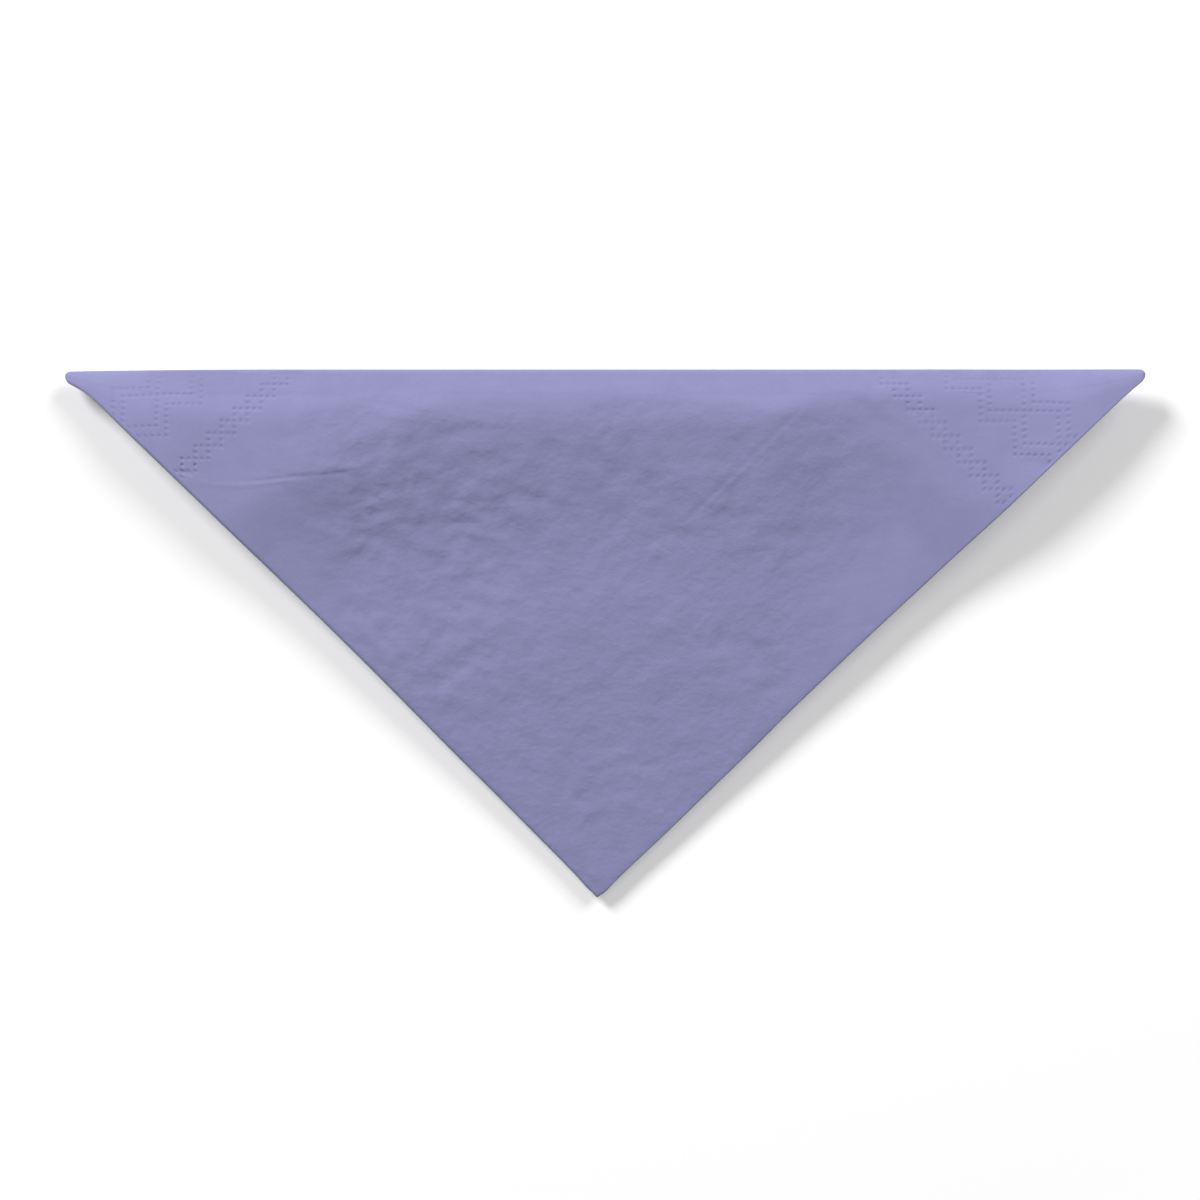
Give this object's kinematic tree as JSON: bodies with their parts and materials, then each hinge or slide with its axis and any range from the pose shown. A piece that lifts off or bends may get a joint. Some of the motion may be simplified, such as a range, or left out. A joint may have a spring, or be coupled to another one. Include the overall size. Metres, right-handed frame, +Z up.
{
  "type": "paper napkin",
  "caption": "Soft paper napkin with an embossed border, folded to a quarter and then corner to corner into a flat triangle.",
  "frame": {"origin": "under the middle of the folded triangle's box, on the surface it lies on", "axes": "+X along the last fold, +Y from the apex to that fold, +Z up"},
  "size_m": [0.2334, 0.1136, 0.0117],
  "materials": {
    "tissue": "soft matt tissue, dyed lilac, with fine wrinkles and an embossed dotted border"
  },
  "bodies": {
    "root": {"napkin": "tissue"}
  },
  "joints": []
}
